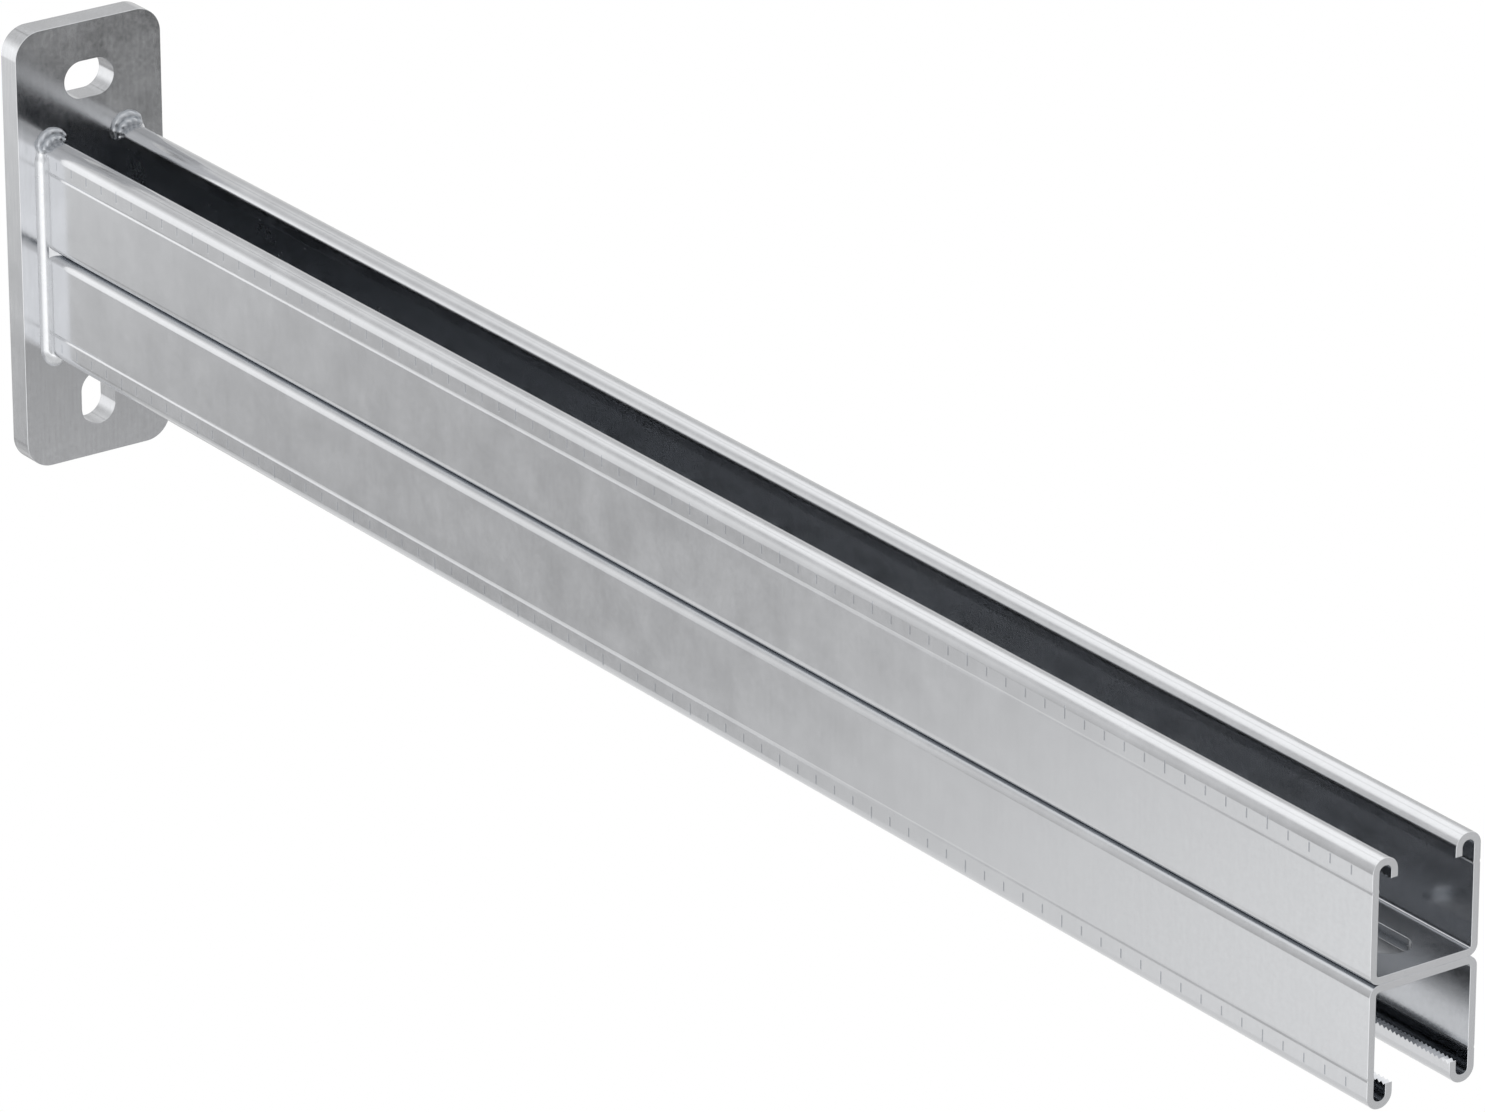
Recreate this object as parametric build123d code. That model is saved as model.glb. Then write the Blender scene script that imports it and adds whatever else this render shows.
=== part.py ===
"""Cantilever strut arm: two lipped channels, back to back, welded to a slotted wall plate.

Frame: the origin is at the centre of the plate's wall face, +X runs out along the arm,
+Y runs across it and +Z is up. All sizes are in millimetres.
"""

import os
from build123d import *

# Arm
arm_length = 750.0  # from the front of the plate to the free end
channel_width = 41.0  # over the side walls
channel_depth = 41.0  # from the web's back to the top of the folds
sheet = 2.5  # strip that the channels are rolled from

# Rolled section
web_bend = 1.2  # inner radius between the web and a side wall
fold_width = 9.5  # from a side wall's outside to its lip's outside
fold_flat = 0.3  # left level between the two bends over a fold
lip_drop = 7.4  # from the top of a fold down to the lip's edge
groove_drop = 10.4  # from the top of a fold down to the middle of the side wall's groove
groove_height = 1.4
groove_depth = 0.2  # also the height of the ridge that the groove raises inside

# Slots punched in both webs
web_slot_width = 14.0
web_slot_length = 30.0
web_slot_pitch = 50.0
web_slot_first = 25.0  # from the front of the plate to the first slot's centre

# Wall plate
plate_width = 60.0
plate_height = 165.0
plate_thickness = 10.0
plate_corner = 10.0
edge_break = 0.6  # chamfer of the plate's front edges

# Slots in the wall plate: the upper one lies across, the lower one stands upright
bolt_slot_width = 14.0
bolt_slot_length = 20.5
bolt_slot_height = 60.8  # from the arm's seam to the centre of each slot

# Weld beads
bead_radius = 2.7
bead_lift = 1.7  # how far the bead's arc around a fold stands clear of the fold's own arc
bead_wrap = 75.0  # degrees that the bead runs on around the lower fold

# Worked out
wall_face = channel_width / 2
lip_face = wall_face - fold_width
lip_edge = channel_depth - lip_drop
groove_middle = channel_depth - groove_drop
outer_web_bend = web_bend + sheet
outer_fold_bend = (fold_width - fold_flat) / 2
fold_bend = outer_fold_bend - sheet
arm_start = plate_thickness
arm_end = arm_start + arm_length


def section_plane(x):
    """The upright plane across the arm at x, with Y to its right and Z up."""
    return Plane(origin=(x, 0, 0), x_dir=(0, 1, 0), z_dir=(1, 0, 0))


def groove(face):
    """Shallow vee pressed into a side wall, seen on the wall's surface at face, from its foot up."""
    return [
        (face, groove_middle - groove_height / 2),
        (face - groove_depth, groove_middle),
        (face, groove_middle + groove_height / 2),
    ]


def outer_half():
    """Outside of the right half of the upper channel, from the web's middle to the lip."""
    points = [
        (0, 0),
        (wall_face, 0),
        *groove(wall_face),
        (wall_face, channel_depth),
        (lip_face, channel_depth),
        (lip_face, lip_edge),
    ]
    return points, [outer_web_bend, 0, 0, 0, outer_fold_bend, outer_fold_bend]


def inner_half():
    """Inside of the same half, from the lip's edge back to the web's middle."""
    points = [
        (lip_face + sheet, lip_edge),
        (lip_face + sheet, channel_depth - sheet),
        (wall_face - sheet, channel_depth - sheet),
        *reversed(groove(wall_face - sheet)),
        (wall_face - sheet, sheet),
        (0, sheet),
    ]
    return points, [fold_bend, fold_bend, 0, 0, 0, web_bend]


def mirrored(points):
    """The same points on the other side of the arm, in the opposite order."""
    return [(-y, z) for y, z in reversed(points)]


def channel_section():
    """Closed section of the upper channel: web, two grooved side walls, folds and lips."""
    outer, outer_bends = outer_half()
    inner, inner_bends = inner_half()
    points = outer + inner[:-1] + mirrored(inner[:-1]) + mirrored(outer[1:])
    one_side = [*outer_bends, 0, 0, *inner_bends]
    bends = [0, *one_side, *reversed(one_side)]
    return make_face(FilletPolyline(*points, radius=bends, close=True))


def slot_centres():
    """Places of the web slots along the arm, as many as its length holds."""
    first = arm_start + web_slot_first
    room = arm_end - web_slot_length / 2 - sheet - first
    return [first + i * web_slot_pitch for i in range(int(room // web_slot_pitch) + 1)]


def upper_channel():
    """Roll-formed channel with its mouth up, punched through the web."""
    channel = extrude(section_plane(arm_start) * channel_section(), arm_length)
    punch = extrude(SlotOverall(web_slot_length, web_slot_width), sheet)
    return channel - [Pos(x, 0, 0) * punch for x in slot_centres()]


def lower_channel():
    """The same channel turned over, its web against the upper one's."""
    return mirror(upper_channel(), Plane.XY)


def wall_plate():
    """Rounded flat plate with a bolt slot above the arm and another below it."""
    outline = RectangleRounded(plate_width, plate_height, plate_corner)
    plate = extrude(section_plane(0) * outline, plate_thickness)
    plate = chamfer(plate.faces().sort_by(Axis.X)[-1].edges(), edge_break)
    slot = SlotOverall(bolt_slot_length, bolt_slot_width)
    across = Pos(0, bolt_slot_height) * slot
    upright = Pos(0, -bolt_slot_height) * Rot(0, 0, 90) * slot
    return plate - extrude(section_plane(0) * (across + upright), plate_thickness)


def channel_envelope():
    """Upper channel with its hollow filled up to the lips' edges, to trim the weld to."""
    outer, outer_bends = outer_half()
    points = outer + mirrored(outer[1:])
    one_side = [*outer_bends, 0]
    face = make_face(FilletPolyline(*points, radius=[0, *one_side, *reversed(one_side)], close=True))
    upper = extrude(section_plane(arm_start) * face, arm_length)
    return upper + mirror(upper, Plane.XY)


def weld_bead():
    """Weld on the +Y side: from under the lower fold, up the walls and over the upper fold."""
    arch = fold_width / 2
    arch_height = channel_depth - arch + bead_lift
    under = CenterArc((wall_face - arch, -arch_height), arch, -bead_wrap, bead_wrap)
    run = Line((wall_face, -arch_height), (wall_face, arch_height))
    over = CenterArc((wall_face - arch, arch_height), arch, 0, 180)
    path = section_plane(arm_start) * (under + run + over)
    tube = sweep(Plane(path @ 0, z_dir=path % 0) * Circle(bead_radius), path)
    ends = [Pos(path @ t) * Sphere(bead_radius) for t in (0, 1)]
    half_space = Pos(arm_start, 0, 0) * Box(
        arm_length, plate_width, plate_height, align=(Align.MIN, Align.CENTER, Align.CENTER)
    )
    return ((tube + ends) & half_space) - channel_envelope()


parts = {
    "wall_plate": wall_plate(),
    "upper_channel": upper_channel(),
    "lower_channel": lower_channel(),
    "weld_right": weld_bead(),
    "weld_left": mirror(weld_bead(), Plane.XZ),
}

os.makedirs("parts", exist_ok=True)
for name, shape in parts.items():
    export_step(shape, f"parts/{name}.step")
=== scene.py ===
"""Looks of the cantilever strut arm: toothed channels with a scale, weld beads, plate and studio.

Frame: the origin is at the centre of the plate's wall face, +X runs out along the arm, +Y runs
across it and +Z is up. Sizes are in millimetres and angles in degrees, unless a comment says
otherwise. A mesh is scaled to metres as it is made.

Every point has a share, a factor on its colour. Below 1 it is painted shade: inside the channels,
up in their folds, in the seam, in the scale marks and over the weld ropes. Above 1 it is a painted
highlight, on the weld drops and at the arches' ends.
"""

import math
from collections import namedtuple

import bpy
from mathutils import Matrix, Vector


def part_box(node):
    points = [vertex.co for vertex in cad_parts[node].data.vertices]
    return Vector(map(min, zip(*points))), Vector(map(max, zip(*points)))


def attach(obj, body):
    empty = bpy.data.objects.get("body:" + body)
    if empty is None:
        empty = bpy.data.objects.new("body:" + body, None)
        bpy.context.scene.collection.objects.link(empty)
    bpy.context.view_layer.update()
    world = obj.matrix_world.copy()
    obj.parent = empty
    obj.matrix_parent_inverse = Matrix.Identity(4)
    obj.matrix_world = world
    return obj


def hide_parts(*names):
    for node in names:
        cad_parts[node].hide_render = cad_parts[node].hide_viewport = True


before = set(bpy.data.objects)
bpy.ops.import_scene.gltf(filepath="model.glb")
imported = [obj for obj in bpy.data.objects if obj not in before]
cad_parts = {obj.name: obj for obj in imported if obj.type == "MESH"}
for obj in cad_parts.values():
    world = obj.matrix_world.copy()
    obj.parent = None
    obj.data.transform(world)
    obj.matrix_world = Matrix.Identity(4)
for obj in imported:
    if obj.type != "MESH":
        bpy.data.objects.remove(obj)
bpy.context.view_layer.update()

MM = 0.001

# Rolled section, as in the solids
SHEET = 2.5
WEB_BEND = 1.2  # inner radius between the web and a side wall
FOLD_WIDTH = 9.5  # from a side wall's outside to its lip's outside
FOLD_FLAT = 0.3  # left level between the two bends over a fold
LIP_DROP = 7.4  # from the top of a fold down to the lip's edge
GROOVE_DROP = 10.4  # from the top of a fold down to the middle of the side wall's groove
GROOVE_HEIGHT = 1.4
GROOVE_DEPTH = 0.2

# Steps along the section's bends
OUTER_WEB_STEPS = 8
OUTER_FOLD_STEPS = 10  # from the top of a long mark to the top of the fold
OUTER_LIP_STEPS = 12
INNER_FOLD_STEPS = 8
INNER_WEB_STEPS = 5

# Slots through the webs
SLOT_WIDTH = 14.0
SLOT_LENGTH = 30.0
SLOT_PITCH = 50.0
SLOT_ROUNDING = 0.35  # of the rim inside a channel
SLOT_STEPS = 16
SLOT_RIM_STEPS = 3

# Teeth along the lips' edges
TOOTH_PITCH = 2.0
TOOTH_DEPTH = 0.9
UPPER_PHASE = 0.65  # part of a tooth's pitch at which the row starts
LOWER_PHASE = 0.0
SAME_PLACE = 1e-6  # a tip or notch this near to a station isn't made again

# Scale pressed into the side walls; heights are measured down from the top of the fold
TICK_PITCH = 10.0
LONG_TICK_EVERY = 5
TICK_DEPTH = 0.02
TICK_STEEP_WIDTH = 0.02  # over which a mark's steep side goes down
TICK_SHALLOW_WIDTH = 0.8  # over which it comes up again
TICK_TAPER = 0.2  # height over which its ends run out
TICK_FOOT_DROP = 8.0
SHORT_TICK_DROP = 4.7
LONG_TICK_DROP = 3.5
# painted shade in the pressed scale marks
TICK_PAINTED_SHADE = 0.58

# Edge left by the saw at the free end
CUT_CHAMFER = 0.07

# Painted shade: shares of brightness where shade falls inside the channels and in the seam, and the
# added roughness and cool tint that go with it
INSIDE_PAINTED_SHADE = 0.84  # painted shade inside a channel, far out from the plate
ROOT_PAINTED_SHADE = 0.6  # inside a channel, at the plate
ROOT_REACH = 450.0  # from the plate to where the inside is no darker for it
FOLD_PAINTED_SHADE = 0.45  # kept of that up in a fold
FOLD_SHADE = 0.8  # height over which it falls to that
SEAM_PAINTED_SHADE = 0.5  # down in the crevice between the channels
SEAM_HEIGHT = 1.6  # height over which the wall comes out of the crevice's shade
SHARE_DULLING = 0.25  # roughness added where no brightness is kept
PAINTED_SHADE_TINT = (-0.09, 0.0, 0.11)  # change of red, green and blue there, a painted cool shade

# Wall plate
PLATE_CORNER = 10.0
PLATE_CORNER_STEPS = 16
EDGE_ROUNDING = 0.15  # of the front edges
EDGE_STEPS = 4
BACK_CHAMFER = 0.25
BOLT_SLOT_WIDTH = 14.0
BOLT_SLOT_LENGTH = 20.5
BOLT_SLOT_HEIGHT = 60.8  # from the arm's seam to the centre of each slot
BOLT_SLOT_STEPS = 12
JOIN_DIGITS = 4  # points that agree to this many decimals are one point

# Weld beads: a bead's legs are how far it reaches out over the plate and along the arm
WELD_STEP = 0.25  # along a bead around a fold
WALL_STEP = 0.75  # along it on the side walls
SECTION_STEPS = 30
WELD_SINK = 0.35  # how deep the hidden side lies in the steel

# Plain bead up the side walls
BEAD_ON_PLATE = 2.6
BEAD_ON_WALL = 2.5
BEAD_START = 16.0  # how far from square its face rises from the plate
BEAD_FULLNESS = 0.85  # 1 is a round face, and less is fuller
NECK = 2.0  # both legs at the bead's top, where the arch sits on it
NECK_RUN = 2.5  # height over which the bead draws in to that

# Drop at the bead's lower end, which hooks in under the fold; places on it are angles on the fold
HOOK_END = 108.0
HOOK_CAP = 32.0  # over which it closes to a round end
HOOK_GROWTH = 1.5  # added to both legs
HOOK_GROWN = 80.0  # where all of it is added
HOOK_BLEND = (10.0, 50.0)  # between which the bead's section turns into the drop's
HOOK_START = 22.0  # how far from square the drop's face rises from the plate
HOOK_OPENING = 30.0  # how far from square it comes down to the arm, where the bead is square
# Painted highlight over the drop, brightest at its rim
HOOK_PAINTED_HIGHLIGHT = 1.12
HOOK_RIM_PAINTED_HIGHLIGHT = 1.45  # painted highlight at the toe on the plate
HOOK_RIM = (0.2, 0.5)  # share of the section's width where the rim's painted highlight ends

# Arch over the upper fold: two rippled ropes side by side, which the plain bead turns into. Each
# side's arch has its centre's shift to the outside, and the angles where it starts and ends.
Arch = namedtuple("Arch", "lean start end")
LEFT_ARCH = Arch(0.4, 14.0, 145.0)
RIGHT_ARCH = Arch(-0.7, 40.0, 192.0)
ARCH_TURN = 195.0  # most that an arch may turn; the stops divide this evenly
ARCH_RADIUS = 6.8  # of its outline on the plate
ARCH_RAISE = 2.4  # of that outline's centre over the fold's own
ARCH_ON_FOLD = 3.1  # leg along the arm
ARCH_LEAST = 0.5  # leg that is kept on the plate where the outline comes near the fold
ARCH_RISE = (8.0, 16.0)  # angle before and after its start over which it rises from the bead
ARCH_CAP = 22.0  # angle over which it closes to a round end
ROPE_HEIGHT = 0.75
ROPE_VALLEY = 0.3  # height kept between the ropes
# Painted shade over the ropes, deeper in the valley and between the ripples, with a painted
# highlight at the arch's end
ROPE_PAINTED_SHADE = 0.78
ROPE_END_PAINTED_HIGHLIGHT = 1.5  # painted highlight, of the rope's brightness at the arch's end, in the mouth
ROPE_END = (148.0, 168.0)  # angles between which it grows to that
VALLEY_PAINTED_SHADE = 0.6
VALLEY_WIDTH = 0.06  # share of the section's width
ROPE_BLEND = (0.4, 0.6)  # share of the section's width where one rope turns into the other
RIPPLE_PITCH = 2.0
RIPPLE_HEIGHT = 0.18
RIPPLE_LEAN = 2.5  # radians by which a ripple lags from toe to toe
RIPPLE_PAINTED_SHADE = 0.7  # painted shade, of the rope's brightness between the ripples
OUTER_RIPPLES = (0.8, 0.6)  # height and painted shade of the outer rope's ripples beside the inner one's

# Weld metal that fills the crevice between the channels beside a bead
FILL_OVERLAP = 0.6  # how far it starts inside the bead
FILL_REACH = 8.2  # from the plate to its tip
FILL_HEIGHT = 2.9  # above and below the seam at its foot
FILL_DEPTH = 3.0
FILL_SINK = 0.05  # of its face below the wall's
FILL_ROOT_HEIGHT = 0.4  # above and below the seam, deep in the crevice
FILL_TIP_HEIGHT = 0.15
FILL_TIP_RISE = 0.1  # of its tip over the root

# Zinc: scales of its noises are per metre
CLOUD_SCALE = 70.0
CLOUD_DETAIL = 4.0
CLOUD_ROUGHNESS = (-0.02, 0.03)
GRAIN_SCALE = 650.0
GRAIN_DETAIL = 3.0
GRAIN_ROUGHNESS = (0.85, 1.1)  # times the finish's own roughness
STREAK_SCALE = (900.0, 900.0, 60.0)
STREAK_DETAIL = 4.0
NOISE_RANGE = (0.3, 0.7)  # where most of a noise's values lie

# Camera, fitted to the photograph
CAMERA_AZIMUTH = 54.723
CAMERA_ELEVATION = 22.737
CAMERA_ROLL = 0.055
CAMERA_PLACE = (2697.77, -1618.14, 1188.14)
CAMERA_LENS = 227.34
CAMERA_SENSOR = 36.0
CAMERA_REACH = 100.0  # metres

# Floor, in metres
FLOOR_LEVEL = -1.5
FLOOR_SIZE = 3.8
FLOOR_COLOUR = (0.85, 0.85, 0.85, 1)
FLOOR_ROUGHNESS = 0.9

# Light from all round: an even base and wide soft lamps, with dark screens of negative strength.
# Each has a strength and edges (axis, start, end). Over an edge the light grows from nothing to
# full while the direction's part along the axis goes from start to end. Several edges multiply.
OUT, BACK = (1, 0, 0), (-1, 0, 0)
RIGHT, LEFT = (0, 1, 0), (0, -1, 0)
UP, DOWN = (0, 0, 1), (0, 0, -1)
FREE_END = (0.84, 0.56, 0)
BASE_LIGHT = 0.465
LIGHTS = {
    "overhead lamp": (0.72, [((1.0, 0.034, 0.56), -0.455, -0.41)]),
    "overhead gap": (-0.4, [(RIGHT, 0.0, 0.04), (LEFT, -0.1, -0.06), (UP, 0.3, 0.5)]),
    "high screen": (-0.5, [(OUT, 0.3, 0.7), (UP, 0.0, 0.3)]),
    "side lamp": (
        1.346,
        [(BACK, 0.685, 0.872), (UP, -0.395, -0.284), (DOWN, -0.528, -0.114), (LEFT, 0.0, 0.3)],
    ),
    "front lamp": (0.48, [((0.81, -0.54, 0.0), 0.588, 0.998)]),
    "back lamp": (0.35, [((-0.81, 0.53, 0.0), 0.922, 1.0)]),
    "dark screen": (-1.0, [(FREE_END, 0.65, 0.8), (UP, -0.367, -0.343), (DOWN, 0.2, 0.3)]),
    "end screen": (-0.17, [(FREE_END, 0.4, 0.8), (DOWN, 0.385, 0.42)]),
    "low glow": (0.74, [((0.164, -0.439, -0.9), 0.452, 0.525)]),
    "low screen": (-0.289, [((0.471, -0.169, -0.889), 0.223, 0.293)]),
    "sky": (0.4, [(UP, -1.0, 1.0)]),
}


def size_mm(node):
    """Lowest and highest corner of a solid, in millimetres."""
    low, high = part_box(node)
    return low / MM, high / MM


# Worked out from the solids and the section
channel_low, channel_high = size_mm("upper_channel")
plate_low, plate_high = size_mm("wall_plate")
WALL_FACE = channel_high.y
DEPTH = channel_high.z
ARM_START = channel_low.x
ARM_END = channel_high.x
LIP_FACE = WALL_FACE - FOLD_WIDTH
OUTER_FOLD = (FOLD_WIDTH - FOLD_FLAT) / 2
INNER_FOLD = OUTER_FOLD - SHEET
OUTER_WEB_BEND = WEB_BEND + SHEET
FOLD_FOOT = DEPTH - OUTER_FOLD
WEB_CENTRE = (WALL_FACE - OUTER_WEB_BEND, OUTER_WEB_BEND)
WALL_CENTRE = (WALL_FACE - OUTER_FOLD, FOLD_FOOT)
LIP_CENTRE = (LIP_FACE + OUTER_FOLD, FOLD_FOOT)


def smooth(low, high, value):
    """0 below low, 1 above high, with an even curve between."""
    t = min(1.0, max(0.0, (value - low) / (high - low)))
    return t * t * (3 - 2 * t)


def mix(first, second, t):
    """First where t is 0, second where t is 1, and between them in proportion."""
    return first + (second - first) * t


def on_arc(centre, radius, angle):
    """Point on an arc and its outward normal: (y, z, normal)."""
    turn = math.radians(angle)
    normal = (math.cos(turn), math.sin(turn))
    return centre[0] + radius * normal[0], centre[1] + radius * normal[1], normal


def arc(centre, radius, start, end, steps):
    """Points and outward normals along an arc, both ends included."""
    return [on_arc(centre, radius, start + (end - start) * i / steps) for i in range(steps + 1)]


class Shape:
    """Points and faces of a closed mesh, with an outward normal for every corner of a face."""

    def __init__(self):
        self.points = []
        self.shares = []
        self.faces = []
        self.normals = []

    def point(self, x, y, z, share=1.0):
        """Add a point and return its number."""
        self.points.append(Vector((x, y, z)))
        self.shares.append(share)
        return len(self.points) - 1

    def winding(self, corners):
        """Vector that the corners go round, by the right-hand rule."""
        total = Vector((0, 0, 0))
        for i, corner in enumerate(corners):
            total += self.points[corners[i - 1]].cross(self.points[corner])
        return total

    def face(self, corners, normals):
        """Add a face that looks the way of its normals: one vector, or one for each corner."""
        if isinstance(normals, Vector):
            normals = [normals] * len(corners)
        if self.winding(corners).dot(sum(normals, Vector((0, 0, 0)))) < 0:
            corners, normals = corners[::-1], normals[::-1]
        self.faces.append(list(corners))
        self.normals.extend(normals)

    def facet(self, corners, hint):
        """Add a face with its own flat normal, on the side of hint."""
        normal = self.winding(corners).normalized()
        self.face(corners, normal if normal.dot(hint) >= 0 else -normal)

    def join(self):
        """Make one point of those that lie in the same place."""
        first, points, shares, numbers = {}, [], [], []
        for point, share in zip(self.points, self.shares):
            place = tuple(round(v, JOIN_DIGITS) for v in point)
            if place not in first:
                first[place] = len(points)
                points.append(point)
                shares.append(share)
            numbers.append(first[place])
        self.points, self.shares = points, shares
        self.faces = [[numbers[i] for i in face] for face in self.faces]

    def build(self, name, node, slot, material):
        """Make the object, let it stand for a solid and give it its finish."""
        mesh = bpy.data.meshes.new(name)
        mesh.from_pydata([p * MM for p in self.points], [], self.faces)
        mesh.polygons.foreach_set("use_smooth", [True] * len(mesh.polygons))
        mesh.normals_split_custom_set([tuple(n.normalized()) for n in self.normals])
        mesh.attributes.new("share", "FLOAT", "POINT").data.foreach_set("value", self.shares)
        mesh.materials.append(material)
        piece = bpy.data.objects.new(name, mesh)
        bpy.context.scene.collection.objects.link(piece)
        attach(piece, "root")
        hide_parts(node)


# Row of points along the arm: its place in the section, the normals of the strips before and after
# it, and the kinds of scale mark that are pressed in at it
Row = namedtuple("Row", "y z before after marks", defaults=[()])

# Half of a channel: nets of points on its outside and inside, row by row, and the pairs of points
# at both ends of its lip's edge
Half = namedtuple("Half", "outside inside lip_ends")


def bend_rows(centre, radius, start, end, steps, way=1):
    """Rows over a bend; way is -1 on its inside, where the normals point to its centre."""
    rows = []
    for y, z, outward in arc(centre, radius, start, end, steps):
        normal = (way * outward[0], way * outward[1])
        rows.append(Row(y, z, normal, normal))
    return rows


def groove_rows(face, way):
    """Rows over the groove in a side wall: up its outside, or down its inside where way is -1."""
    middle = DEPTH - GROOVE_DROP
    slope = Vector((GROOVE_HEIGHT / 2, GROOVE_DEPTH)).normalized()
    wall, up, down = (way, 0.0), (way * slope.x, slope.y), (way * slope.x, -slope.y)
    return [
        Row(face, middle - way * GROOVE_HEIGHT / 2, wall, up),
        Row(face - GROOVE_DEPTH, middle, up, down),
        Row(face, middle + way * GROOVE_HEIGHT / 2, down, wall),
    ]


def fold_angle(z):
    """Angle on a fold's outside at which it reaches the height z."""
    return math.degrees(math.asin((z - FOLD_FOOT) / OUTER_FOLD))


def mark_rows():
    """Rows from the foot of the scale marks up the side wall and on to the top of the fold."""
    foot = DEPTH - TICK_FOOT_DROP
    short_top = DEPTH - SHORT_TICK_DROP
    long_top = DEPTH - LONG_TICK_DROP
    wall = (1.0, 0.0)
    both, long_only = ("short", "long"), ("long",)
    rows = [
        Row(WALL_FACE, foot, wall, wall),
        Row(WALL_FACE, foot + TICK_TAPER, wall, wall, both),
        Row(WALL_FACE, short_top - TICK_TAPER, wall, wall, both),
        Row(WALL_FACE, short_top, wall, wall, long_only),
    ]
    taper, top = fold_angle(long_top - TICK_TAPER), fold_angle(long_top)
    for angle in (0, taper / 2, taper):
        y, z, normal = on_arc(WALL_CENTRE, OUTER_FOLD, angle)
        rows.append(Row(y, z, normal, normal, long_only))
    return rows + bend_rows(WALL_CENTRE, OUTER_FOLD, top, 90, OUTER_FOLD_STEPS)


def outer_rows():
    """Rows along the outside of the right half, from the web to the lip."""
    return [
        *bend_rows(WEB_CENTRE, OUTER_WEB_BEND, -90, 0, OUTER_WEB_STEPS),
        *groove_rows(WALL_FACE, 1),
        *mark_rows(),
        *bend_rows(LIP_CENTRE, OUTER_FOLD, 90, 180, OUTER_LIP_STEPS),
    ]


def inner_rows():
    """Rows along the inside of the right half, from the lip back to the web."""
    return [
        *bend_rows(LIP_CENTRE, INNER_FOLD, 180, 90, INNER_FOLD_STEPS, -1),
        *bend_rows(WALL_CENTRE, INNER_FOLD, 90, 0, INNER_FOLD_STEPS, -1),
        *groove_rows(WALL_FACE - SHEET, -1),
        *bend_rows(WEB_CENTRE, WEB_BEND, 0, -90, INNER_WEB_STEPS, -1),
    ]


def stations():
    """Places along the arm where the section is repeated, and which of them lie deep in a mark."""
    count = round((ARM_END - ARM_START) / TICK_PITCH)
    places, marks = [ARM_START], {}
    for k in range(1, count):
        deep = ARM_START + k * TICK_PITCH - TICK_SHALLOW_WIDTH / 2
        marks[len(places) + 1] = "long" if k % LONG_TICK_EVERY == 0 else "short"
        places += [deep - TICK_STEEP_WIDTH, deep, deep + TICK_SHALLOW_WIDTH]
    places.append(ARM_END - CUT_CHAMFER)
    return places, marks


def tooth_edge(x, phase):
    """Height of the toothed lip edge at x: a zigzag about the plain lip's edge."""
    place = ((x - ARM_START) / TOOTH_PITCH + phase) % 1.0
    zigzag = abs(2 * place - 1)
    return DEPTH - LIP_DROP + TOOTH_DEPTH * (0.5 - zigzag)


def tooth_places(start, end, phase):
    """Places of the tips and notches strictly between start and end."""
    half = TOOTH_PITCH / 2
    first = ARM_START - phase * TOOTH_PITCH
    i = math.floor((start - first) / half) + 1
    found = []
    while first + i * half < end - SAME_PLACE:
        if first + i * half > start + SAME_PLACE:
            found.append(first + i * half)
        i += 1
    return found


def slot_centres():
    """Places of the web slots along the arm, each in the middle of its own cell of the web."""
    cells = round((ARM_END - ARM_START) / SLOT_PITCH)
    return [ARM_START + (c + 0.5) * SLOT_PITCH for c in range(cells)]


def slot_ring(centre, grow=0.0):
    """Rim of a web slot, from its left tip over +Y to its right tip and back: (x, y, outward)."""
    radius = (SLOT_WIDTH + 2 * grow) / 2
    reach = (SLOT_LENGTH + 2 * grow) / 2 - radius
    ring = []
    for way in (1, -1):
        for i in range(SLOT_STEPS + 1):
            turn = math.pi * i / SLOT_STEPS
            outward = (way * math.sin(turn), way * math.cos(turn))
            x = centre + way * reach + radius * outward[0]
            ring.append((x, radius * outward[1], outward))
    tip = SLOT_STEPS + 1 + SLOT_STEPS // 2
    return ring[tip:] + ring[:tip]


def painted_inside_shade(x, z=0.0):
    """Painted shade inside a channel: it deepens towards the plate and up in the folds."""
    along = mix(ROOT_PAINTED_SHADE, INSIDE_PAINTED_SHADE, smooth(0.0, ROOT_REACH, x - ARM_START))
    return along * mix(1, FOLD_PAINTED_SHADE, smooth(0.0, FOLD_SHADE, z - FOLD_FOOT))


def painted_seam_shade(x, z):
    """Share outside a channel, the same at every x: painted shade that deepens down in the crevice
    at the seam.
    """
    return mix(SEAM_PAINTED_SHADE, 1, smooth(0.0, SEAM_HEIGHT, z))


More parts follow.
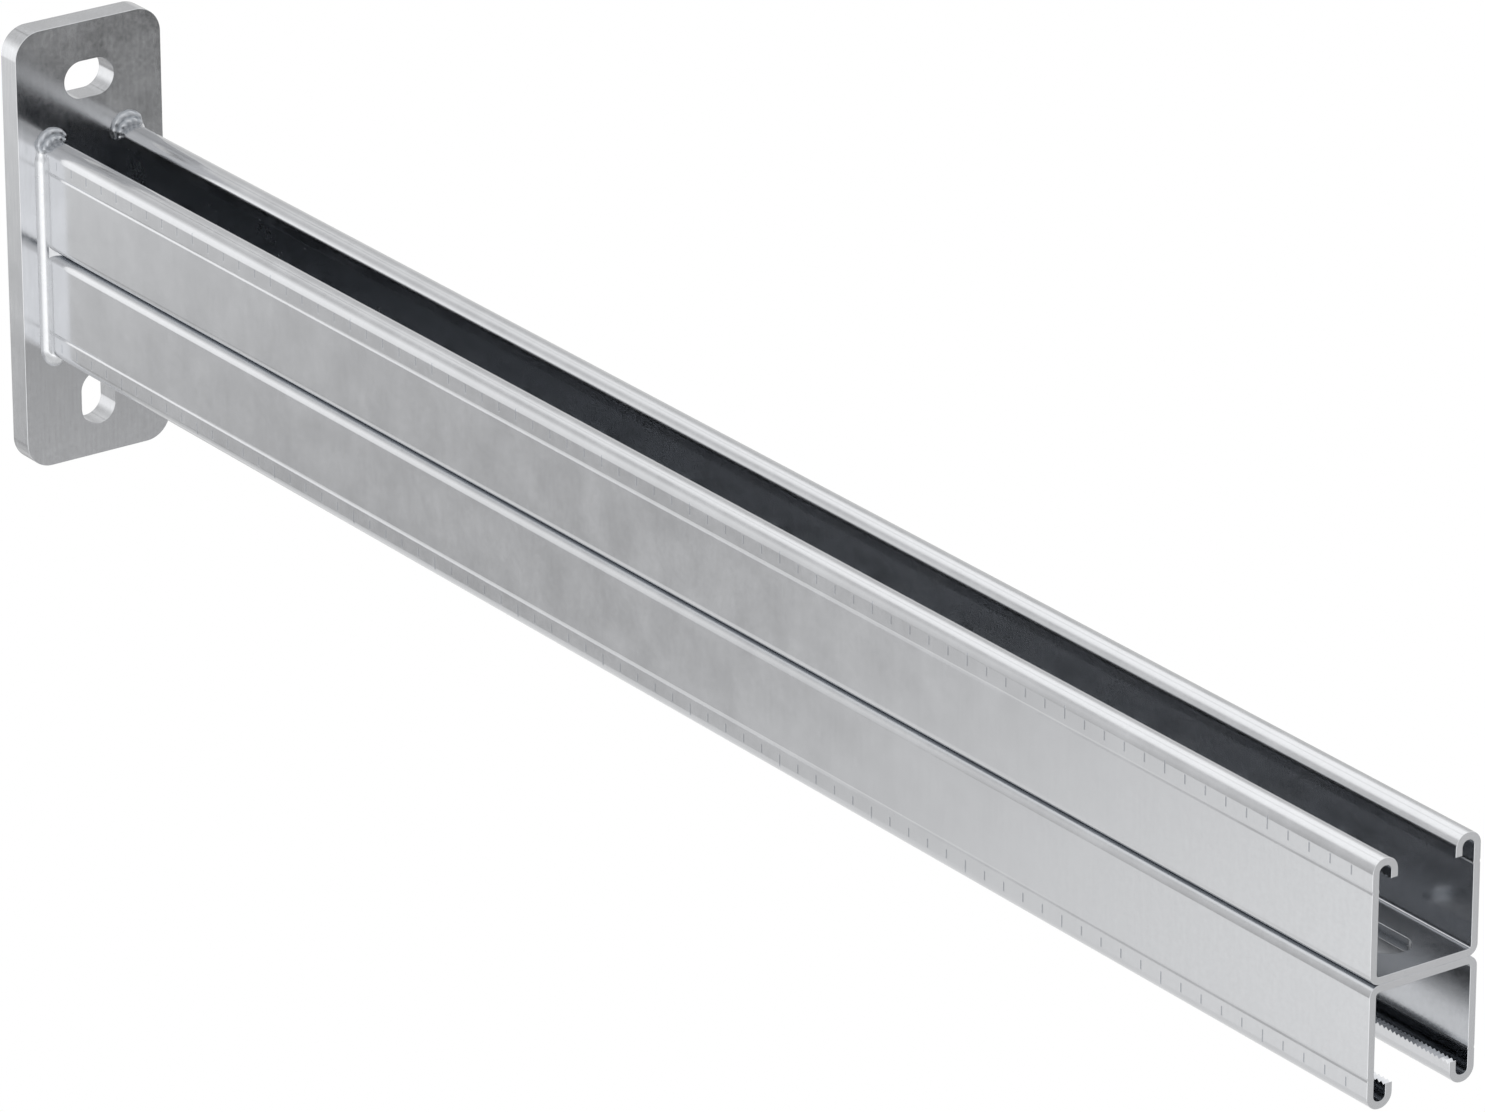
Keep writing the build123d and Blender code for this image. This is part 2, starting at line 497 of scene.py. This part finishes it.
class Channel(Shape):
    """One channel with its grooves, scale marks, teeth and web slots.

    side is 1 for the upper channel and -1 for the lower one, and hand is 1 for the half at +Y and
    -1 for the other. The section is given for 1 and 1, and is repeated at numbered stations.
    """

    def __init__(self, side, phase):
        super().__init__()
        self.side = side
        self.phase = phase
        self.places, self.marks = stations()
        self.last = len(self.places) - 1
        right, left = [self.half(hand) for hand in (1, -1)]
        back_middles, back_rims = self.web_face(right.outside[0], left.outside[0], False)
        front_middles, front_rims = self.web_face(right.inside[-1], left.inside[-1], True)
        for centre, front_rim, back_rim in zip(slot_centres(), front_rims, back_rims):
            self.slot_wall(centre, front_rim, back_rim)
        rings = []
        for end in (0, -1):
            to_right, to_left = (
                [row[end] for row in half.outside]
                + list(half.lip_ends[end])
                + [row[end] for row in half.inside]
                for half in (right, left)
            )
            rings.append([back_middles[end], *to_right, front_middles[end], *reversed(to_left)])
        self.face(rings[0], Vector((-1, 0, 0)))
        self.cut_face(rings[1])

    def half(self, hand):
        """Side wall, fold and lip of one half."""
        outside = self.grid(outer_rows(), hand, painted_seam_shade)
        inside = self.grid(inner_rows(), hand, painted_inside_shade)
        return Half(outside, inside, self.lip(outside[-1], inside[0], hand))

    def vector(self, normal, hand):
        """Normal of the section, turned to fit this channel and half."""
        return Vector((0, hand * normal[0], self.side * normal[1]))

    def pressed(self, row, station):
        """Whether a scale mark is pressed in where a row crosses a station."""
        return self.marks.get(station) in row.marks

    def grid(self, rows, hand, painted_shade_at):
        """Points of a set of rows at all stations, and the faces between them."""
        net = []
        for row in rows:
            line = []
            for station, x in enumerate(self.places):
                pressed = self.pressed(row, station)
                depth = TICK_DEPTH if pressed else 0.0
                y = hand * (row.y - depth * row.after[0])
                z = self.side * (row.z - depth * row.after[1])
                line.append(self.point(x, y, z, TICK_PAINTED_SHADE if pressed else painted_shade_at(x, row.z)))
            net.append(line)
        for pair, low, high in zip(zip(rows, rows[1:]), net, net[1:]):
            before, after = self.vector(pair[0].after, hand), self.vector(pair[1].before, hand)
            for s in range(self.last):
                corners = [low[s], low[s + 1], high[s + 1], high[s]]
                if any(self.pressed(row, station) for row in pair for station in (s, s + 1)):
                    self.facet(corners, before + after)
                else:
                    self.face(corners, [before, before, after, after])
        return net

    def lip(self, outside, inside, hand):
        """Toothed edge between a lip's two faces; returns its first and last pair of points."""
        edge = []
        for s, place in enumerate(self.places):
            stops = [place]
            if s < self.last:
                stops += tooth_places(place, self.places[s + 1], self.phase)
            pairs = []
            for x in stops:
                z = self.side * tooth_edge(x, self.phase)
                out = self.point(x, hand * LIP_FACE, z)
                back = self.point(x, hand * (LIP_FACE + SHEET), z, painted_inside_shade(x))
                pairs.append((out, back))
            edge.append(pairs)
        for s in range(self.last):
            run = edge[s] + edge[s + 1][:1]
            outs, backs = zip(*run)
            self.face([outside[s + 1], outside[s], *outs], Vector((0, -hand, 0)))
            self.face([inside[s + 1], inside[s], *backs], Vector((0, hand, 0)))
            for (a, b), (c, d) in zip(run, run[1:]):
                self.facet([a, b, d, c], Vector((0, 0, -self.side)))
        return edge[0][0], edge[-1][0]

    def web_face(self, right, left, inside):
        """One face of the web; returns its middle points at the cells' borders and the slots' rims.

        The long marks stand at the slots' pitch, so their stations are the borders of the cells.
        """
        borders = [0, *(s for s, mark in self.marks.items() if mark == "long"), self.last]
        z = self.side * (SHEET if inside else 0.0)
        normal = Vector((0, 0, self.side if inside else -self.side))
        grow = SLOT_ROUNDING if inside else 0.0
        middles = []
        for x in (self.places[s] for s in borders):
            middles.append(self.point(x, 0, z, painted_inside_shade(x) if inside else SEAM_PAINTED_SHADE))
        rims = []
        for c, centre in enumerate(slot_centres()):
            share = painted_inside_shade(centre) if inside else SEAM_PAINTED_SHADE
            rim = [self.point(x, y, z, share) for x, y, _ in slot_ring(centre, grow)]
            half = len(rim) // 2
            span = range(borders[c], borders[c + 1] + 1)
            start, end = middles[c], middles[c + 1]
            self.face([start, *rim[:half + 1], end, *(right[s] for s in reversed(span))], normal)
            self.face([end, *rim[half:], rim[0], start, *(left[s] for s in span)], normal)
            rims.append(rim)
        return middles, rims

    def slot_wall(self, centre, front_rim, back_rim):
        """Wall of one web slot, from its eased rim inside the channel to the web's back."""
        ring = slot_ring(centre)
        levels = [[(i, Vector((0, 0, self.side))) for i in front_rim]]
        for t in range(1, SLOT_RIM_STEPS + 1):
            turn = math.pi / 2 * t / SLOT_RIM_STEPS
            grow = SLOT_ROUNDING * (1 - math.sin(turn))
            z = self.side * (SHEET - SLOT_ROUNDING * (1 - math.cos(turn)))
            level = []
            for x, y, (nx, ny) in ring:
                index = self.point(x + nx * grow, y + ny * grow, z, painted_inside_shade(x))
                lean = math.sin(turn)
                level.append((index, Vector((-nx * lean, -ny * lean, self.side * math.cos(turn)))))
            levels.append(level)
        levels.append([(i, Vector((-nx, -ny, 0))) for i, (_, _, (nx, ny)) in zip(back_rim, ring)])
        for high, low in zip(levels, levels[1:]):
            for i in range(len(ring)):
                j = (i + 1) % len(ring)
                corners, normals = zip(high[i], high[j], low[j], low[i])
                self.face(corners, normals)

    def cut_face(self, ring):
        """Face at the free end, with the edge of the ring around it broken."""
        count = len(ring)
        places = [self.points[i] for i in ring]
        outward = []
        for i in range(count):
            edge = places[(i + 1) % count] - places[i]
            outward.append(Vector((0, edge.z, -edge.y)).normalized() * self.side)
        inset = []
        for i, place in enumerate(places):
            before, after = outward[i - 1], outward[i]
            move = (before + after) / (1 + before.dot(after))
            inset.append(self.point(ARM_END, *(place - move * CUT_CHAMFER).yz))
        for i in range(count):
            j = (i + 1) % count
            self.facet([ring[i], ring[j], inset[j], inset[i]], outward[i] + Vector((1, 0, 0)))
        self.face(inset, Vector((1, 0, 0)))


def plate_outline():
    """Right half of the plate's outline, from its top middle to its bottom: (y, z, outward)."""
    top = plate_high.z
    y, z = plate_high.y - PLATE_CORNER, top - PLATE_CORNER
    return [
        (0.0, top, (0.0, 1.0)),
        *arc((y, z), PLATE_CORNER, 90, 0, PLATE_CORNER_STEPS),
        *arc((y, -z), PLATE_CORNER, 0, -90, PLATE_CORNER_STEPS),
        (0.0, -top, (0.0, -1.0)),
    ]


def bolt_slots():
    """Right halves of both bolt slots' rims, from top middle to bottom: (y, z, outward)."""
    radius = BOLT_SLOT_WIDTH / 2
    reach = BOLT_SLOT_LENGTH / 2 - radius
    high, low = BOLT_SLOT_HEIGHT, -BOLT_SLOT_HEIGHT
    across = [
        (0.0, high + radius, (0.0, 1.0)),
        *arc((reach, high), radius, 90, -90, BOLT_SLOT_STEPS * 2),
        (0.0, high - radius, (0.0, -1.0)),
    ]
    upright = [
        *arc((0, low + reach), radius, 90, 0, BOLT_SLOT_STEPS),
        *arc((0, low - reach), radius, 0, -90, BOLT_SLOT_STEPS),
    ]
    return across, upright


def plate_levels():
    """Levels from the plate's back to its front: (x, inset of the outline, normal's X part)."""
    back, front = plate_low.x, plate_high.x
    levels = [(back, BACK_CHAMFER, -1.0), (back + BACK_CHAMFER, 0.0, 0.0)]
    for t in range(EDGE_STEPS + 1):
        turn = math.pi / 2 * t / EDGE_STEPS
        x = front - EDGE_ROUNDING * (1 - math.sin(turn))
        levels.append((x, EDGE_ROUNDING * (1 - math.cos(turn)), math.sin(turn)))
    return levels


class Plate(Shape):
    """Wall plate with round corners, eased edges and two bolt slots, made as two halves."""

    def __init__(self):
        super().__init__()
        sides = {hand: self.side_face(hand) for hand in (1, -1)}
        rims = {}
        for end, x, way in ((0, plate_low.x, -1), (-1, plate_high.x, 1)):
            for hand in (1, -1):
                across, upright = (
                    [self.point(x, hand * y, z) for y, z, _ in slot] for slot in bolt_slots()
                )
                border = sides[hand][end]
                self.face([*border, *reversed(upright), *reversed(across)], Vector((way, 0, 0)))
                rims[hand, end] = across, upright
        for hand in (1, -1):
            for slot, near, far in zip(bolt_slots(), rims[hand, -1], rims[hand, 0]):
                inward = [Vector((0, -hand * n[0], -n[1])) for _, _, n in slot]
                for i in range(len(slot) - 1):
                    corners = [near[i], near[i + 1], far[i + 1], far[i]]
                    self.face(corners, [inward[i], inward[i + 1], inward[i + 1], inward[i]])
        self.join()

    def side_face(self, hand):
        """Edge of one half, from the back chamfer to the rounded front; returns its rows."""
        outline, levels = plate_outline(), plate_levels()
        rows = []
        for x, inset, _ in levels:
            rows.append(
                [self.point(x, hand * (y - n[0] * inset), z - n[1] * inset) for y, z, n in outline]
            )
        for level, (row, above) in enumerate(zip(rows, rows[1:])):
            low, high = levels[level][2], levels[level + 1][2]
            for i in range(len(outline) - 1):
                corners = [row[i], row[i + 1], above[i + 1], above[i]]
                first, second = outline[i][2], outline[i + 1][2]
                if level == 0:
                    self.facet(corners, Vector((-1, hand * first[0], first[1])))
                    continue
                normals = []
                for n, tilt in ((first, low), (second, low), (second, high), (first, high)):
                    flat = math.sqrt(max(0.0, 1 - tilt * tilt))
                    normals.append(Vector((tilt, hand * n[0] * flat, n[1] * flat)))
                self.face(corners, normals)
        return rows


# Stop on a bead's way, on the arm's outside at the plate: its place and outward normal, the angle
# on the fold, and the stretch that it lies on
Stop = namedtuple("Stop", "y z normal angle stretch")

# A bead's legs at a stop, how much of the ropes shows there, and how near the arch's end is
Legs = namedtuple("Legs", "plate fold rope ending")


def weld_path(arch):
    """Stops of a bead, from under the lower fold, up the side walls and over the upper fold."""
    turn = math.degrees(WELD_STEP / OUTER_FOLD)
    y, z = WALL_CENTRE
    path = []
    steps = round(HOOK_END / turn)
    for i in range(steps):
        angle = HOOK_END * (i / steps - 1)
        path.append(Stop(*on_arc((y, -z), OUTER_FOLD, angle), angle, "hook"))
    steps = round(2 * FOLD_FOOT / WALL_STEP)
    for i in range(steps):
        height = -FOLD_FOOT + 2 * FOLD_FOOT * i / steps
        path.append(Stop(WALL_FACE, height, (1.0, 0.0), 0.0, "wall"))
    steps = round(ARCH_TURN / turn)
    for i in range(steps + 1):
        angle = ARCH_TURN * i / steps
        if angle <= arch.end:
            path.append(Stop(*on_arc((y, z), OUTER_FOLD, angle), angle, "arch"))
    return path


def arch_reach(angle, lean):
    """How far an arch's outline, a circle on the plate, stands out from the fold at this angle."""
    a = math.radians(angle)
    along = lean * math.cos(a) + ARCH_RAISE * math.sin(a)
    return along + math.sqrt(ARCH_RADIUS**2 - lean**2 - ARCH_RAISE**2 + along**2) - OUTER_FOLD


def weld_legs(stop, arch):
    """The legs of a bead at a stop."""
    if stop.stretch == "hook":
        grow = HOOK_GROWTH * smooth(0, HOOK_GROWN, -stop.angle)
        over = max(0.0, -stop.angle - HOOK_END + HOOK_CAP) / HOOK_CAP
        end = math.sqrt(max(0.0, 1 - over * over))
        return Legs((BEAD_ON_PLATE + grow) * end, (BEAD_ON_WALL + grow) * end, 0.0, 0.0)
    if stop.stretch == "wall":
        neck = smooth(FOLD_FOOT - NECK_RUN, FOLD_FOOT, stop.z)
        return Legs(mix(BEAD_ON_PLATE, NECK, neck), mix(BEAD_ON_WALL, NECK, neck), 0.0, 0.0)
    rope = smooth(arch.start - ARCH_RISE[0], arch.start + ARCH_RISE[1], stop.angle)
    end = math.sqrt(max(0.0, 1 - smooth(arch.end - ARCH_CAP, arch.end, stop.angle) ** 2))
    plate = mix(NECK, max(arch_reach(stop.angle, arch.lean), ARCH_LEAST), rope)
    fold = mix(NECK, ARCH_ON_FOLD, rope)
    return Legs(plate * end, fold * end, rope, smooth(*ROPE_END, stop.angle))


def plain_section(stop, across, legs):
    """Point of a plain bead's section: out over the plate, along the arm, and its share, which
    paints a highlight on the drop.

    across goes from 0 at the toe on the plate to 1 at the toe on the arm.
    """
    hook = smooth(*HOOK_BLEND, -stop.angle) if stop.stretch == "hook" else 0.0
    first = math.radians(mix(BEAD_START, HOOK_START, hook))
    last = math.radians(90 - HOOK_OPENING * hook)
    turn = mix(first, last, across)
    out = (math.cos(turn) - math.cos(last)) / (math.cos(first) - math.cos(last))
    along = (math.sin(turn) - math.sin(first)) / (math.sin(last) - math.sin(first))
    fullness = mix(BEAD_FULLNESS, 1, hook)
    drop_painted_highlight = mix(HOOK_RIM_PAINTED_HIGHLIGHT, HOOK_PAINTED_HIGHLIGHT, smooth(*HOOK_RIM, across))
    out, along = max(out, 0.0) ** fullness, max(along, 0.0) ** fullness
    return out * legs.plate, along * legs.fold, mix(1, drop_painted_highlight, hook)


def rope_section(run, across, legs):
    """The same for the two rippled ropes, at run along the bead, with their painted shade and
    highlight.
    """
    wave = math.sin(2 * math.pi * run / RIPPLE_PITCH + RIPPLE_LEAN * across)
    inner = smooth(*ROPE_BLEND, across)
    height, shade = (mix(outer, 1, inner) for outer in OUTER_RIPPLES)
    ropes = math.hypot(math.sin(2 * math.pi * across), ROPE_VALLEY * math.sin(math.pi * across))
    lift = ropes * (ROPE_HEIGHT + RIPPLE_HEIGHT * wave * height)
    chord = math.hypot(legs.plate, legs.fold)
    out = legs.plate * (1 - across) + lift * legs.fold / chord
    along = legs.fold * across + lift * legs.plate / chord
    valley = math.exp(-((across - 0.5) / VALLEY_WIDTH) ** 2)
    # painted shade on the ropes and in their valley, painted highlight at the arch's end
    share = ROPE_PAINTED_SHADE * mix(1, VALLEY_PAINTED_SHADE, valley) * mix(1, ROPE_END_PAINTED_HIGHLIGHT, legs.ending)
    return out, along, share * mix(1, RIPPLE_PAINTED_SHADE, shade * (1 - wave) / 2)


def weld_section(stop, run, legs):
    """Ring of points around a bead, over its face from plate to arm and back inside the steel."""
    ring = []
    for t in range(SECTION_STEPS + 1):
        across = t / SECTION_STEPS
        section = plain_section(stop, across, legs)
        if legs.rope:
            rope = rope_section(run, across, legs)
            section = [mix(a, b, legs.rope) for a, b in zip(section, rope)]
        out, along, share = section
        y, z = stop.y + stop.normal[0] * out, stop.z + stop.normal[1] * out
        ring.append((ARM_START + along, y, z, share))
    y, z = stop.y - stop.normal[0] * WELD_SINK, stop.z - stop.normal[1] * WELD_SINK
    return ring + [(x, y, z, 1.0) for x in (ring[-1][0], ARM_START)]


class Weld(Shape):
    """Bead around one side of the arm, with a rippled arch over the upper fold."""

    def __init__(self, hand, arch):
        super().__init__()
        self.nets = []
        run = 0.0
        path = weld_path(arch)
        for k, stop in enumerate(path):
            if k:
                run += math.dist(stop[:2], path[k - 1][:2])
            ring = weld_section(stop, run, weld_legs(stop, arch))
            self.nets.append([self.point(x, hand * y, z, share) for x, y, z, share in ring])
        normals = [
            [self.normal(a, t) for t in range(SECTION_STEPS + 1)] for a in range(len(self.nets))
        ]
        for a, (ring, following) in enumerate(zip(self.nets, self.nets[1:])):
            for i in range(len(ring)):
                j = (i + 1) % len(ring)
                corners = [ring[i], ring[j], following[j], following[i]]
                if i < SECTION_STEPS:
                    near, far = normals[a], normals[a + 1]
                    self.face(corners, [near[i], near[j], far[j], far[i]])
                else:
                    crown = self.points[ring[SECTION_STEPS // 2]]
                    self.facet(corners, self.points[ring[i]] - crown)
        self.face(self.nets[0], Vector((0, -hand, 0)))
        self.face(self.nets[-1], Vector((0, 0, -1)))
        self.fill_seam(hand)

    def normal(self, a, t):
        """Outward normal of the bead's face at a point of the net, from its neighbours."""
        points, ring = self.points, self.nets[a]
        before, after = self.nets[max(a - 1, 0)], self.nets[min(a + 1, len(self.nets) - 1)]
        along = points[after[t]] - points[before[t]]
        across = points[ring[min(t + 1, SECTION_STEPS)]] - points[ring[max(t - 1, 0)]]
        way = along.cross(across)
        crown = points[ring[SECTION_STEPS // 2]] - points[ring[-1]]
        return (way if way.dot(crown) > 0 else -way).normalized()

    def fill_seam(self, hand):
        """Weld metal that runs out along the crevice, flush with the wall beside the bead."""
        foot, tip = ARM_START + BEAD_ON_WALL - FILL_OVERLAP, ARM_START + FILL_REACH
        near, deep = WALL_FACE - FILL_SINK, WALL_FACE - FILL_DEPTH
        base = [
            (near, FILL_HEIGHT),
            (near, -FILL_HEIGHT),
            (deep, -FILL_ROOT_HEIGHT),
            (deep, FILL_ROOT_HEIGHT),
        ]
        top, bottom, root_bottom, root_top = [self.point(foot, hand * y, z) for y, z in base]
        tip_top, tip_bottom = [
            self.point(tip, hand * (deep + FILL_TIP_RISE), z)
            for z in (FILL_TIP_HEIGHT, -FILL_TIP_HEIGHT)
        ]
        front = Vector((1, 2 * hand, 0))
        self.facet([top, bottom, tip_bottom, tip_top], front)
        self.facet([top, tip_top, root_top], Vector((0, 0, 1)))
        self.facet([bottom, root_bottom, tip_bottom], Vector((0, 0, -1)))
        self.facet([root_top, tip_top, tip_bottom, root_bottom], -front)
        self.facet([top, bottom, root_bottom, root_top], Vector((-1, 0, 0)))


def new_node(tree, kind, **settings):
    """New node with some of its properties set."""
    node = tree.nodes.new(kind)
    for key, value in settings.items():
        setattr(node, key, value)
    return node


def chain(tree, operation, *values):
    """Sum or product of several outputs."""
    total = values[0]
    for value in values[1:]:
        node = new_node(tree, "ShaderNodeMath", operation=operation)
        tree.links.new(total, node.inputs[0])
        tree.links.new(value, node.inputs[1])
        total = node.outputs[0]
    return total


def noise(tree, place, scale, detail, stretch=None):
    """Noise over the surface; stretch squeezes it along each axis."""
    texture = new_node(tree, "ShaderNodeTexNoise")
    texture.inputs["Scale"].default_value = scale
    texture.inputs["Detail"].default_value = detail
    if stretch:
        squeeze = new_node(tree, "ShaderNodeVectorMath", operation="MULTIPLY")
        squeeze.inputs[1].default_value = stretch
        tree.links.new(place, squeeze.inputs[0])
        place = squeeze.outputs[0]
    tree.links.new(place, texture.inputs["Vector"])
    return texture.outputs["Fac"]


def spread(tree, value, low, high):
    """Turn a noise into a number between low and high."""
    ramp = new_node(tree, "ShaderNodeMapRange")
    limits = {"From Min": NOISE_RANGE[0], "From Max": NOISE_RANGE[1], "To Min": low, "To Max": high}
    for name, limit in limits.items():
        ramp.inputs[name].default_value = limit
    tree.links.new(value, ramp.inputs["Value"])
    return ramp.outputs["Result"]


def steel(name, colour, roughness, bloom, streaks, relief):
    """Zinc coated steel: bright metal with a cloudy bloom, fine upright streaks and a faint relief.

    Where the share is low, painted shade makes it darker and cooler, and it is rougher; where the
    share is above 1 it is a painted highlight. relief is its height.
    """
    material = bpy.data.materials.new(name)
    material.use_nodes = True
    tree = material.node_tree
    links = tree.links
    shader = tree.nodes["Principled BSDF"]
    shader.inputs["Metallic"].default_value = 1.0
    place = new_node(tree, "ShaderNodeTexCoord").outputs["Object"]
    cloud = noise(tree, place, CLOUD_SCALE, CLOUD_DETAIL)
    grain = noise(tree, place, GRAIN_SCALE, GRAIN_DETAIL)
    streak = noise(tree, place, 1.0, STREAK_DETAIL, STREAK_SCALE)
    share = new_node(tree, "ShaderNodeAttribute", attribute_name="share").outputs["Fac"]
    # Tone: the share's painted shade and highlight, times the cloudy bloom and the streaks
    tone = chain(
        tree,
        "MULTIPLY",
        share,
        spread(tree, cloud, 1 - bloom, 1 + bloom),
        spread(tree, streak, 1 - streaks, 1 + streaks),
    )

    # Colour, from plain to cool as the painted shade deepens, the share going from 1 to 0
    painted_shade_depth = new_node(tree, "ShaderNodeMapRange")
    painted_shade_depth.inputs["To Min"].default_value = 1.0
    painted_shade_depth.inputs["To Max"].default_value = 0.0
    links.new(share, painted_shade_depth.inputs["Value"])
    cool = new_node(tree, "ShaderNodeVectorMath", operation="MULTIPLY_ADD")
    links.new(painted_shade_depth.outputs["Result"], cool.inputs[0])
    cool.inputs[1].default_value = [c * t for c, t in zip(colour, PAINTED_SHADE_TINT)]
    cool.inputs[2].default_value = colour
    tinted = new_node(tree, "ShaderNodeVectorMath", operation="SCALE")
    links.new(cool.outputs[0], tinted.inputs[0])
    links.new(tone, tinted.inputs["Scale"])
    links.new(tinted.outputs[0], shader.inputs["Base Color"])

    dull = new_node(tree, "ShaderNodeMath", operation="MULTIPLY_ADD")
    links.new(share, dull.inputs[0])
    dull.inputs[1].default_value = -SHARE_DULLING
    dull.inputs[2].default_value = SHARE_DULLING
    fine, coarse = (roughness * part for part in GRAIN_ROUGHNESS)
    rough = chain(
        tree,
        "ADD",
        dull.outputs[0],
        spread(tree, grain, fine, coarse),
        spread(tree, cloud, *CLOUD_ROUGHNESS),
    )
    links.new(rough, shader.inputs["Roughness"])

    bump = new_node(tree, "ShaderNodeBump")
    bump.inputs["Strength"].default_value = 1.0
    bump.inputs["Distance"].default_value = relief * MM
    links.new(grain, bump.inputs["Height"])
    links.new(bump.outputs["Normal"], shader.inputs["Normal"])
    return material


def camera():
    """Camera at the photograph's viewing angle."""
    data = bpy.data.cameras.new("camera")
    data.lens = CAMERA_LENS
    data.sensor_width = CAMERA_SENSOR
    data.sensor_fit = "HORIZONTAL"
    data.clip_end = CAMERA_REACH
    a, e = math.radians(CAMERA_AZIMUTH), math.radians(CAMERA_ELEVATION)
    back = Vector((math.sin(a) * math.cos(e), -math.cos(a) * math.cos(e), math.sin(e)))
    right = (-back).cross(Vector((0, 0, 1))).normalized()
    up = back.cross(right)
    turn = Matrix((right, up, back)).transposed().to_4x4()
    roll = Matrix.Rotation(-math.radians(CAMERA_ROLL), 4, "Z")
    view = bpy.data.objects.new("camera", data)
    view.matrix_world = Matrix.Translation(Vector(CAMERA_PLACE) * MM) @ turn @ roll
    bpy.context.scene.collection.objects.link(view)
    bpy.context.scene.camera = view


def floor():
    """Pale floor well below the arm, white to the camera and in reflections."""
    half = FLOOR_SIZE / 2
    corners = [(x * half, y * half, FLOOR_LEVEL) for x, y in ((-1, -1), (1, -1), (1, 1), (-1, 1))]
    mesh = bpy.data.meshes.new("floor")
    mesh.from_pydata(corners, [], [(0, 1, 2, 3)])
    material = bpy.data.materials.new("floor")
    material.use_nodes = True
    tree = material.node_tree
    links = tree.links
    shader = tree.nodes["Principled BSDF"]
    shader.inputs["Base Color"].default_value = FLOOR_COLOUR
    shader.inputs["Roughness"].default_value = FLOOR_ROUGHNESS
    path = new_node(tree, "ShaderNodeLightPath")
    white = new_node(tree, "ShaderNodeEmission")
    seen = new_node(tree, "ShaderNodeMath", operation="MAXIMUM")
    shown = new_node(tree, "ShaderNodeMixShader")
    links.new(path.outputs["Is Camera Ray"], seen.inputs[0])
    links.new(path.outputs["Is Glossy Ray"], seen.inputs[1])
    links.new(seen.outputs[0], shown.inputs[0])
    links.new(shader.outputs[0], shown.inputs[1])
    links.new(white.outputs[0], shown.inputs[2])
    links.new(shown.outputs[0], tree.nodes["Material Output"].inputs["Surface"])
    mesh.materials.append(material)
    piece = bpy.data.objects.new("floor", mesh)
    bpy.context.scene.collection.objects.link(piece)


def light_edge(tree, way, strength, axis, start, end):
    """Light that grows to strength as the direction's part along axis goes from start to end."""
    part = new_node(tree, "ShaderNodeVectorMath", operation="DOT_PRODUCT")
    part.inputs[1].default_value = axis
    tree.links.new(way, part.inputs[0])
    ramp = new_node(tree, "ShaderNodeMapRange", interpolation_type="SMOOTHSTEP")
    ramp.inputs["From Min"].default_value = start
    ramp.inputs["From Max"].default_value = end
    ramp.inputs["To Max"].default_value = strength
    tree.links.new(part.outputs["Value"], ramp.inputs["Value"])
    return ramp.outputs["Result"]


def studio():
    """Soft studio light from all round, made of the lights above; the camera sees white."""
    world = bpy.data.worlds.new("studio")
    bpy.context.scene.world = world
    world.use_nodes = True
    tree = world.node_tree
    links = tree.links
    way = new_node(tree, "ShaderNodeTexCoord").outputs["Generated"]
    lights = []
    for strength, edges in LIGHTS.values():
        first, *others = edges
        parts = [light_edge(tree, way, strength, *first)]
        parts += [light_edge(tree, way, 1.0, *other) for other in others]
        lights.append(chain(tree, "MULTIPLY", *parts))
    lifted = new_node(tree, "ShaderNodeMath", operation="ADD")
    links.new(chain(tree, "ADD", *lights), lifted.inputs[0])
    lifted.inputs[1].default_value = BASE_LIGHT
    path = new_node(tree, "ShaderNodeLightPath")
    seen = new_node(tree, "ShaderNodeMix", data_type="FLOAT")
    links.new(path.outputs["Is Camera Ray"], seen.inputs["Factor"])
    links.new(lifted.outputs[0], seen.inputs["A"])
    seen.inputs["B"].default_value = 1.0
    background = tree.nodes["Background"]
    background.inputs["Color"].default_value = (1, 1, 1, 1)
    links.new(seen.outputs["Result"], background.inputs["Strength"])


channel_steel = steel(
    "channel_steel",
    colour=(0.55, 0.557, 0.571), roughness=0.15, bloom=0.03, streaks=0.008, relief=0.0006,
)
plate_steel = steel(
    "plate_steel",
    colour=(0.524, 0.531, 0.544), roughness=0.17, bloom=0.04, streaks=0.035, relief=0.001,
)
weld_steel = steel(
    "weld_steel",
    colour=(0.54, 0.548, 0.561), roughness=0.32, bloom=0.03, streaks=0.0, relief=0.002,
)
Channel(1, UPPER_PHASE).build("upper_strut", "upper_channel", "channel_steel", channel_steel)
Channel(-1, LOWER_PHASE).build("lower_strut", "lower_channel", "channel_steel", channel_steel)
Plate().build("plate", "wall_plate", "plate_steel", plate_steel)
Weld(-1, LEFT_ARCH).build("left_weld", "weld_left", "weld_steel", weld_steel)
Weld(1, RIGHT_ARCH).build("right_weld", "weld_right", "weld_steel", weld_steel)
camera()
floor()
studio()

scene = bpy.context.scene
scene.view_settings.view_transform = "Standard"
